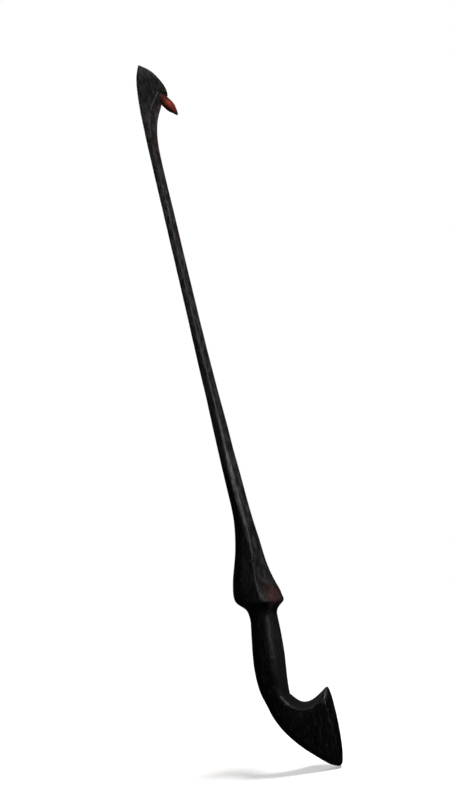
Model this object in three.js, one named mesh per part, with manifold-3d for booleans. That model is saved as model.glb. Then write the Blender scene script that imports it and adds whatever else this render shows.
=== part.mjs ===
// Spear thrower carved from one board of dark hardwood, with a red hardwood spur.
// Millimetres, +Z up along the shaft towards the head, +X to the side that carries the spur.
// The origin is the middle of the grip.
import * as THREE from 'three';
import { mergeVertices } from 'three/addons/utils/BufferGeometryUtils.js';
import Module from 'manifold-3d';

// ---- driving dimensions -------------------------------------------------
const HEAD_TIP = [9.35, 569.22];       // x, z of the point of the head
const TAIL_END = [42.07, -122.03];   // x, z of the lowest corner of the tail
const EDGE_SHARE = 0.045;            // how much of a round section's turn its side flats take
const FACET_CROWN = 0.3;             // how far the long facets bulge at their middle

const SPUR_SEAT = [24.8, 0, 531.4];  // where the spur's axis crosses the seat under the head's corner
const SPUR_TURN = 28.7;              // degrees between the spur and the shaft
const SPUR_R = 4.65;                 // spur radius at its root
const SPUR_LEN = 19.5;               // seat to spur tip
const SPUR_TIP_R = 0.9;              // flat on the tip that the dart's butt sits on
const SHOULDER = 6.2;                // the root reaches this far behind the seat
const TENON_R = 3;
const TENON_LEN = 14;                // from the shoulder to the tenon's end
const FIT_GAP = 0.3;                 // clearance all round the spur in its socket

// One row for each station from the head's tip to the tail's end. A section is a ring across the board
// between its left edge and its right edge:
//   left edge x, z | right edge x, z | half depth | roundness (0 faceted, 1 oval) |
//   left crease: distance from the left edge, half depth | right crease: the same | half depth at the left and right edges |
//   how far the station's line bows up towards the head (the lip over the spur follows it)
const STATIONS = [
  [8.86, 568.6, 10.21, 568.6, 1.6, 0, 0.5, 1.6, 0.86, 1.6, 0.5, 0.5, 0],
  [8.28, 567.6, 11.59, 567.6, 2.08, 0, 0.71, 2.08, 2.75, 2.08, 0.56, 0.59, 0],
  [7.46, 566, 13.83, 566, 2.7, 0, 1, 2.7, 5.71, 2.7, 0.64, 0.73, 0],
  [6.37, 563.5, 16.84, 563.5, 3.34, 0, 1.39, 3.34, 9.67, 3.34, 0.77, 0.94, 0],
  [5.26, 560.5, 19.72, 560.5, 3.91, 0, 1.75, 3.91, 13.49, 3.91, 0.88, 1.16, 0],
  [4.21, 557, 22.31, 557, 4.49, 0, 2.04, 4.49, 16.95, 4.49, 0.98, 1.39, 0],
  [3.39, 553.5, 24.86, 552.6, 4.95, 0, 2.25, 4.95, 20.12, 4.95, 1.05, 1.64, 0.1],
  [2.85, 550.5, 27.34, 547.6, 5.23, 0, 2.33, 5.23, 22.91, 5.23, 1.11, 1.97, 0.5],
  [2.47, 548, 28.91, 543.4, 5.42, 0, 2.38, 5.42, 24.83, 5.42, 1.15, 2.27, 1.3],
  [2.24, 546.2, 29.62, 540.2, 5.54, 0, 2.4, 5.54, 26.03, 5.54, 1.18, 2.43, 2.2],
  [2.09, 545, 29.81, 537.6, 5.6, 0, 2.4, 5.6, 26.69, 5.6, 1.2, 2.53, 2.8],
  [2.01, 544.3, 29.8, 535.95, 5.63, 0, 2.4, 5.63, 27.01, 5.63, 1.21, 2.58, 3.1],
  [1.96, 543.8, 29.69, 535.45, 5.66, 0, 2.4, 5.66, 21.35, 5.66, 1.22, 2.59, 3.1],
  [1.7, 541.4, 29.54, 534.9, 5.77, 0, 2.36, 5.77, 19.82, 5.77, 1.26, 2.59, 2.3],
  [1.42, 538.6, 29.27, 534.4, 5.87, 0, 2.29, 5.86, 18.01, 5.87, 1.3, 2.6, 1.4],
  [1.19, 536, 28.89, 534, 5.92, 0, 2.23, 5.9, 16.45, 5.92, 1.34, 2.6, 0.6],
  [0.99, 533.6, 28.3, 533.6, 5.95, 0, 2.16, 5.92, 15.16, 5.95, 1.37, 2.6, 0],
  [0.84, 531.48, 26.13, 531.48, 5.98, 0, 2.1, 5.93, 13.75, 5.98, 1.4, 2.6, 0],
  [0.69, 529.31, 23.9, 529.31, 5.99, 0, 2.03, 5.93, 12.46, 5.99, 1.44, 2.6, 0],
  [0.57, 527.19, 21.73, 527.19, 6, 0, 1.96, 5.91, 11.38, 6, 1.47, 2.6, 0],
  [0.43, 524.6, 20.54, 524.6, 5.99, 0, 1.89, 5.87, 10.27, 5.99, 1.51, 2.6, 0],
  [0.32, 522, 19.03, 522, 5.98, 0, 1.83, 5.81, 9.33, 5.98, 1.55, 2.6, 0],
  [0.2, 519, 17.35, 519, 5.95, 0, 1.76, 5.72, 8.5, 5.95, 1.6, 2.6, 0],
  [0.09, 515.5, 15.7, 515.5, 5.91, 0, 1.68, 5.62, 7.76, 5.91, 1.66, 2.6, 0],
  [-0.02, 511.5, 14.17, 511.5, 5.85, 0, 1.62, 5.49, 7.12, 5.85, 1.74, 2.63, 0],
  [-0.12, 507, 12.83, 507, 5.78, 0, 1.57, 5.35, 6.57, 5.78, 1.81, 2.73, 0],
  [-0.22, 502, 11.69, 502, 5.71, 0, 1.53, 5.22, 6.07, 5.71, 1.88, 2.86, 0],
  [-0.31, 496, 10.73, 496, 5.64, 0, 1.5, 5.09, 5.33, 5.64, 1.94, 2.97, 0],
  [-0.39, 489, 10.06, 489, 5.6, 0, 1.5, 5, 4.91, 5.6, 2, 3.09, 0],
  [-0.47, 480, 9.66, 480, 5.56, 0, 1.5, 4.94, 4.72, 5.56, 2.07, 3.23, 0],
  [-0.56, 468, 9.49, 468, 5.52, 0, 1.5, 4.89, 4.65, 5.52, 2.1, 3.3, 0],
  [-0.67, 450, 9.51, 450, 5.5, 0, 1.51, 4.84, 4.69, 5.5, 2.1, 3.3, 0],
  [-0.8, 425, 9.62, 425, 5.54, 0, 1.52, 4.74, 4.79, 5.54, 2.1, 3.24, 0],
  [-0.91, 400, 9.61, 400, 5.6, 0, 1.55, 4.54, 4.85, 5.6, 2.1, 3, 0],
  [-1.03, 375, 9.59, 375, 5.67, 0, 1.58, 4.29, 4.92, 5.67, 2.11, 2.73, 0],
  [-1.17, 350, 9.63, 350, 5.75, 0, 1.61, 4.13, 5.02, 5.75, 2.13, 2.5, 0],
  [-1.36, 325, 9.72, 325, 5.84, 0, 1.65, 4.06, 5.18, 5.84, 2.16, 2.36, 0],
  [-1.6, 300, 9.88, 300, 5.95, 0, 1.7, 4.05, 5.39, 5.95, 2.2, 2.3, 0],
  [-1.84, 275, 10.2, 275, 6.12, 0, 1.77, 4.12, 5.69, 6.12, 2.26, 2.33, 0],
  [-1.91, 250, 10.8, 250, 6.35, 0, 1.87, 4.23, 6.04, 6.35, 2.36, 2.4, 0],
  [-2.19, 230, 11.37, 230, 6.57, 0, 1.98, 4.35, 6.49, 6.57, 2.45, 2.47, 0],
  [-2.47, 212, 11.81, 212, 6.8, 0, 2.1, 4.49, 6.88, 6.8, 2.54, 2.55, 0],
  [-2.66, 196, 12.08, 196, 7.04, 0, 2.24, 4.65, 7.17, 7.04, 2.62, 2.62, 0],
  [-2.77, 182, 12.56, 182, 7.3, 0, 2.43, 4.82, 7.53, 7.3, 2.74, 2.73, 0],
  [-2.83, 170, 12.98, 170, 7.6, 0, 2.66, 5.01, 7.96, 7.6, 2.85, 2.84, 0],
  [-2.85, 160, 13.24, 160, 7.9, 0, 2.9, 5.21, 8.35, 7.9, 2.93, 2.93, 0],
  [-2.84, 150, 13.49, 150, 8.26, 0.02, 3.16, 5.45, 8.76, 8.26, 2.98, 2.98, 0],
  [-2.87, 142, 13.74, 142, 8.6, 0.04, 3.4, 5.68, 9.14, 8.6, 3, 3, 0],
  [-3.02, 136, 13.97, 136, 8.9, 0.06, 3.61, 5.87, 9.54, 8.9, 3, 3, 0],
  [-3.29, 131, 14.21, 131, 9.18, 0.08, 3.83, 6.06, 10.02, 9.18, 3, 3, 0],
  [-3.74, 126, 14.48, 126, 9.5, 0.1, 4.08, 6.27, 10.64, 9.5, 3, 3, 0],
  [-4.39, 121, 14.81, 121, 9.86, 0.12, 4.36, 6.51, 11.41, 9.86, 3, 3, 0],
  [-5.22, 116, 15.19, 116, 10.26, 0.15, 4.65, 6.77, 12.31, 10.26, 3, 3, 0],
  [-6.41, 110, 15.71, 110, 10.8, 0.18, 5.03, 7.13, 13.49, 10.8, 3, 3, 0],
  [-7.73, 104, 16.21, 104, 11.41, 0.22, 5.42, 7.54, 14.69, 11.41, 3, 3, 0],
  [-9.25, 98, 16.6, 98, 12.08, 0.26, 5.81, 8.02, 15.94, 12.08, 3, 3, 0],
  [-11.05, 92, 16.94, 92, 12.8, 0.3, 6.2, 8.55, 17.33, 12.8, 3, 3, 0],
  [-13.06, 86, 17.36, 86, 13.57, 0.35, 6.66, 9.14, 18.86, 13.57, 3, 3, 0],
  [-15.13, 80, 17.98, 80, 14.4, 0.4, 7.23, 9.78, 20.5, 14.4, 3, 3, 0],
  [-17.06, 74, 18.89, 74, 15.27, 0.45, 7.78, 10.48, 22.16, 15.27, 3, 3, 0],
  [-18.39, 69, 19.9, 69, 16, 0.5, 8.17, 11.06, 23.46, 16, 3, 3, 0],
  [-19.51, 64, 21.11, 64, 16.7, 0.54, 8.43, 11.63, 24.7, 16.7, 3, 3, 0],
  [-20.28, 60, 22.24, 60, 17.2, 0.57, 8.5, 12.04, 25.67, 17.2, 3, 3, 0],
  [-20.56, 57, 23.17, 57, 17.51, 0.6, 8.5, 12.31, 26.23, 17.51, 3, 3, 0],
  [-20.56, 54.99, 24.32, 52.64, 17.7, 0.69, 8.5, 12.47, 26.81, 17.7, 3, 3, 0],
  [-20.24, 52.54, 24.92, 48.63, 17.9, 0.8, 8.5, 12.65, 26.78, 17.9, 3, 3, 0],
  [-19.12, 49.99, 25.65, 44.71, 17.58, 0.91, 8.5, 12.47, 26.26, 17.58, 3, 3.01, 0],
  [-16.85, 47.17, 25.06, 42.78, 16.23, 0.99, 8.5, 11.55, 24.09, 16.23, 3.01, 3.01, 0],
  [-14.35, 44.76, 22.53, 40.54, 14.72, 1, 8.5, 10.51, 20.84, 14.72, 3.01, 3.01, 0],
  [-12.17, 42.1, 19.74, 38.45, 13.36, 1, 8.5, 9.58, 17.65, 13.36, 3.01, 3.01, 0],
  [-10.9, 38.77, 17.58, 35.91, 12.5, 1, 8.49, 9, 15.45, 12.5, 3.01, 3.02, 0],
  [-10.4, 32.01, 16.3, 31.97, 12, 1, 8.49, 8.72, 14.42, 12, 3.02, 3.02, 0],
  [-11.5, 24.03, 16, 23.99, 12.1, 1, 8.47, 8.89, 14.85, 12.1, 3.04, 3.04, 0],
  [-13.3, 14.04, 15.7, 13.99, 12.4, 1, 8.44, 9.24, 15.66, 12.4, 3.06, 3.06, 0],
  [-15.1, 4.03, 15.2, 3.99, 12.6, 1, 8.39, 9.52, 16.36, 12.6, 3.08, 3.08, 0],
  [-16.6, -5.98, 14.4, -6.02, 12.6, 1, 8.33, 9.66, 16.74, 12.6, 3.11, 3.11, 0],
  [-17.55, -15.99, 13.2, -16.02, 12.3, 1, 8.24, 9.57, 16.6, 12.3, 3.14, 3.14, 0],
  [-17.9, -26, 11.9, -26.02, 11.8, 1, 8.12, 9.32, 16.09, 11.8, 3.17, 3.17, 0],
  [-17.55, -34.02, 10.95, -34.02, 11.2, 0.97, 8, 8.96, 15.39, 11.2, 3.2, 3.2, 0],
  [-16.35, -41.79, 10.39, -44.33, 10.7, 0.88, 7.5, 10.7, 20.25, 10.7, 3.2, 3.2, 0],
  [-15.12, -46.49, 12.06, -46.89, 10.49, 0.72, 6.91, 10.49, 19.71, 10.49, 3.16, 3.14, 0],
  [-13.86, -51.38, 14.36, -49.87, 10.29, 0.5, 6.36, 10.29, 20.84, 10.29, 3.12, 3.08, 0],
  [-12.58, -56.67, 16.97, -52.73, 10.1, 0.3, 5.84, 10.1, 22.49, 10.1, 3.09, 3.01, 0],
  [-11.19, -61.9, 19.69, -54.63, 9.91, 0.14, 5.55, 9.91, 24.19, 9.91, 3.05, 2.94, 0],
  [-9.6, -66.3, 22.42, -55.67, 9.73, 0.05, 5.2, 9.73, 25.72, 9.73, 3.02, 2.87, 0],
  [-7.8, -70.64, 25.53, -55.93, 9.6, 0, 5.01, 9.6, 27.17, 9.6, 3, 2.8, 0],
  [-5.87, -74.83, 28.73, -55.44, 9.51, 0, 4.96, 9.51, 29.25, 9.51, 2.98, 2.71, 0],
  [-3.75, -78.66, 31.89, -54.36, 9.43, 0, 4.85, 9.43, 31.09, 9.43, 2.97, 2.6, 0],
  [-1.66, -82.2, 34.99, -52.77, 9.4, 0, 4.9, 9.4, 33.29, 9.4, 2.95, 2.49, 0],
  [0.43, -85.34, 38.15, -50.99, 9.4, 0, 4.89, 9.4, 35.71, 9.4, 2.94, 2.38, 0],
  [2.46, -88.27, 41.6, -48.8, 9.4, 0, 4.86, 9.4, 38.45, 9.4, 2.93, 2.29, 0],
  [4.31, -90.77, 44.5, -46.94, 9.4, 0, 4.71, 9.4, 41.38, 9.4, 2.92, 2.22, 0],
  [5.74, -92.58, 46.23, -46.63, 9.4, 0, 4.59, 9.4, 43.9, 9.4, 2.91, 2.2, 0],
  [7.09, -94.27, 47.36, -48.55, 9.4, 0, 4.57, 9.4, 47.98, 9.4, 2.91, 2.21, 0],
  [8.85, -96.36, 48.02, -51.96, 9.4, 0, 4.44, 9.4, 49.34, 9.4, 2.9, 2.25, 0],
  [11.16, -98.96, 48.51, -56.88, 9.4, 0, 4.45, 9.4, 46.19, 9.4, 2.89, 2.3, 0],
  [13.72, -101.73, 48.73, -62.9, 9.4, 0, 4.14, 9.4, 42.48, 9.4, 2.88, 2.37, 0],
  [16.7, -104.79, 48.81, -69.08, 9.4, 0, 4, 9.4, 38.42, 9.4, 2.87, 2.43, 0],
  [19.87, -107.9, 48.7, -76.09, 9.4, 0, 3.93, 9.4, 33.98, 9.4, 2.85, 2.5, 0],
  [23.1, -111.11, 48.52, -83.38, 9.4, 0, 3.76, 9.4, 29.31, 9.4, 2.84, 2.55, 0],
  [26.3, -114.13, 48.15, -90.62, 9.4, 0, 3.61, 9.4, 24.47, 9.4, 2.82, 2.59, 0],
  [29.12, -116.66, 47.58, -98.31, 9.4, 0, 3.47, 9.4, 19.31, 9.4, 2.8, 2.6, 0],
  [32.1, -118.95, 46.84, -105.46, 9.4, 0, 3.33, 9.4, 14.07, 9.4, 2.77, 2.6, 0],
  [35.21, -120.78, 45.96, -111.61, 9.4, 0, 3.3, 9.4, 8.59, 9.4, 2.72, 2.6, 0],
  [38.17, -121.98, 44.89, -116.26, 8.65, 0, 2.62, 8.65, 2.97, 8.65, 2.66, 2.6, 0],
  [40.34, -122.54, 43.74, -119.63, 4.64, 0, 1.53, 4.64, 1.71, 4.64, 2.6, 2.6, 0],
];

// ---- carved body ----------------------------------------------------------
const HALF = 10;                     // steps from the left edge to the right edge

// Distance from the left edge and half depth, at t from 0 (left edge) to 1 (right edge).
function section(row, t) {
  const [lx, lz, rx, rz, depth, round, aL, hL, aR, hR, eL, eR] = row;
  const width = Math.hypot(rx - lx, rz - lz);
  const keys = [[0, 0, eL], [0.2, aL, hL], [0.5, aR, hR], [1, width, eR]];
  let k = 0;
  while (k < 2 && t > keys[k + 1][0]) k += 1;
  const [t0, a0, h0] = keys[k];
  const [t1, a1, h1] = keys[k + 1];
  const u = (t - t0) / (t1 - t0);
  const crown = Math.abs(h1 - h0) > 0.02 ? FACET_CROWN * 4 * u * (1 - u) : 0;
  const fa = a0 + (a1 - a0) * u;
  const fh = h0 + (h1 - h0) * u + crown;
  const turn = Math.PI * (EDGE_SHARE + (1 - 2 * EDGE_SHARE) * t);
  const ra = (width / 2) * (1 - Math.cos(turn) / Math.cos(Math.PI * EDGE_SHARE));
  const rh = depth * Math.sin(turn);
  return [fa + (ra - fa) * round, fh + (rh - fh) * round];
}

function ring(row) {
  const [lx, lz, rx, rz] = row;
  const bow = row[12];
  const width = Math.hypot(rx - lx, rz - lz);
  const ux = (rx - lx) / width;
  const uz = (rz - lz) / width;
  const near = [];
  const far = [];
  for (let j = 0; j <= HALF; j += 1) {
    const [a, h] = section(row, j / HALF);
    const share = a / width;
    const z = lz + uz * a + bow * 6.75 * share * share * (1 - share);
    near.push([lx + ux * a, -h, z]);
    far.push([lx + ux * a, h, z]);
  }
  return near.concat(far.reverse());
}

function loft(rows, top, bottom) {
  const n = 2 * (HALF + 1);
  const points = [[top[0], 0, top[1]]];
  rows.forEach((row) => points.push(...ring(row)));
  points.push([bottom[0], 0, bottom[1]]);
  const last = points.length - 1;
  const faces = [];
  for (let j = 0; j < n; j += 1) {
    const j2 = (j + 1) % n;
    faces.push(0, 1 + j, 1 + j2);
    for (let i = 0; i < rows.length - 1; i += 1) {
      const a = 1 + i * n + j;
      const b = 1 + i * n + j2;
      faces.push(a, a + n, b, b, a + n, b + n);
    }
    const base = 1 + (rows.length - 1) * n;
    faces.push(last, base + j2, base + j);
  }
  const geometry = new THREE.BufferGeometry();
  geometry.setAttribute('position', new THREE.Float32BufferAttribute(points.flat(), 3));
  geometry.setIndex(faces);
  return geometry;
}

const wasm = await Module();
wasm.setup();

function toSolid(geometry) {
  const bare = geometry.clone();
  bare.deleteAttribute('normal');
  bare.deleteAttribute('uv');
  const merged = mergeVertices(bare, 1e-4);
  return new wasm.Manifold(new wasm.Mesh({
    numProp: 3,
    vertProperties: new Float32Array(merged.attributes.position.array),
    triVerts: new Uint32Array(merged.index.array),
  }));
}

function toGeometry(solid) {
  const mesh = solid.getMesh();
  const geometry = new THREE.BufferGeometry();
  geometry.setAttribute('position', new THREE.BufferAttribute(new Float32Array(mesh.vertProperties), 3));
  geometry.setIndex(new THREE.BufferAttribute(new Uint32Array(mesh.triVerts), 1));
  geometry.computeVertexNormals();
  return geometry;
}

// The spur's own axis is +Y of a lathe. In place it points down and to the right.
const spurPlace = new THREE.Matrix4()
  .makeTranslation(...SPUR_SEAT)
  .multiply(new THREE.Matrix4().makeRotationFromQuaternion(
    new THREE.Quaternion().setFromUnitVectors(
      new THREE.Vector3(0, 1, 0),
      new THREE.Vector3(Math.sin(THREE.MathUtils.degToRad(SPUR_TURN)), 0, -Math.cos(THREE.MathUtils.degToRad(SPUR_TURN))),
    ),
  ));

// Socket: a blind bore for the tenon, opened out for the root where the head's lower facet thins.
const socketProfile = [
  [0, -SHOULDER - TENON_LEN - FIT_GAP],
  [TENON_R + FIT_GAP, -SHOULDER - TENON_LEN - FIT_GAP],
  [TENON_R + FIT_GAP, -SHOULDER - FIT_GAP],
  [SPUR_R + FIT_GAP, -SHOULDER - FIT_GAP],
  [SPUR_R + FIT_GAP, 5],
  [0, 5],
].map(([r, y]) => new THREE.Vector2(r, y));
const socket = new THREE.LatheGeometry(socketProfile, 24);
socket.applyMatrix4(spurPlace);

const bodySolid = toSolid(loft(STATIONS, HEAD_TIP, TAIL_END)).subtract(toSolid(socket));

// ---- spur -------------------------------------------------------------------
const spurProfile = [
  [0, -SHOULDER - TENON_LEN],
  [TENON_R - 0.5, -SHOULDER - TENON_LEN],
  [TENON_R, -SHOULDER - TENON_LEN + 0.7],
  [TENON_R, -SHOULDER],
  [SPUR_R, -SHOULDER],
  [SPUR_R, 0],
  [SPUR_R + 0.05, 4],
  [SPUR_R - 0.05, 7.2],
  [SPUR_R - 0.55, 10.2],
  [SPUR_R - 1.2, 12.7],
  [SPUR_R - 2.1, 15.2],
  [SPUR_R - 2.95, 17.1],
  [SPUR_TIP_R + 0.25, SPUR_LEN - 0.55],
  [SPUR_TIP_R, SPUR_LEN],
  [0, SPUR_LEN],
].map(([r, y]) => new THREE.Vector2(r, y));
const spurGeometry = mergeVertices((() => {
  const g = new THREE.LatheGeometry(spurProfile, 24);
  g.deleteAttribute('normal');
  g.deleteAttribute('uv');
  return g;
})(), 1e-4);
spurGeometry.computeVertexNormals();

// ---- assembly ---------------------------------------------------------------
const body = new THREE.Mesh(
  toGeometry(bodySolid),
  new THREE.MeshStandardMaterial({ color: 0x1c1a1c, roughness: 0.45, metalness: 0 }),
);
body.name = 'carved_body';

const spur = new THREE.Mesh(
  spurGeometry,
  new THREE.MeshStandardMaterial({ color: 0x5e1f1b, roughness: 0.5, metalness: 0 }),
);
spur.name = 'spur_peg';
spurPlace.decompose(spur.position, spur.quaternion, spur.scale);

const thrower = new THREE.Group();
thrower.add(body, spur);

export default thrower;
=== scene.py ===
# Spear thrower: looks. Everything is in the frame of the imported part, in metres.
import math

import bpy
import bmesh
import numpy as np
from mathutils import Matrix, Vector, noise


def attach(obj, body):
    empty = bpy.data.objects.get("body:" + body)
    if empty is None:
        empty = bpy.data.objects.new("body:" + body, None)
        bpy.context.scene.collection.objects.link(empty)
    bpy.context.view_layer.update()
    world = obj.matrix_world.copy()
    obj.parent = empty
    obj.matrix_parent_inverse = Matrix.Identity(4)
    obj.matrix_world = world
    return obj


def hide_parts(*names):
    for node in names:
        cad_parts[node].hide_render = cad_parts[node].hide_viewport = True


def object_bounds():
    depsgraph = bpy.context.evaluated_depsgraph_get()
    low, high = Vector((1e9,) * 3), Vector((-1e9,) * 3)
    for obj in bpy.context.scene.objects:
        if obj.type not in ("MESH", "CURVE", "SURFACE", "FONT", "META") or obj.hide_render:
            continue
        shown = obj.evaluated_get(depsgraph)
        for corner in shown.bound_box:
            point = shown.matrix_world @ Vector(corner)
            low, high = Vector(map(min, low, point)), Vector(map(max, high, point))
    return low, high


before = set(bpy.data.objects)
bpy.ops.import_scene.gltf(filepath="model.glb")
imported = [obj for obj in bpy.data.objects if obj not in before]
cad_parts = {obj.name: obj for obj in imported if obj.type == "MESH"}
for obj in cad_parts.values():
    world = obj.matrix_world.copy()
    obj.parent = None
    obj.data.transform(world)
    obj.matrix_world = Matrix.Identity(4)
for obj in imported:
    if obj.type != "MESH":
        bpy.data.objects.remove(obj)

cad_box = [[float(c) for c in v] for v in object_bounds()]
scene = bpy.context.scene

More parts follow.
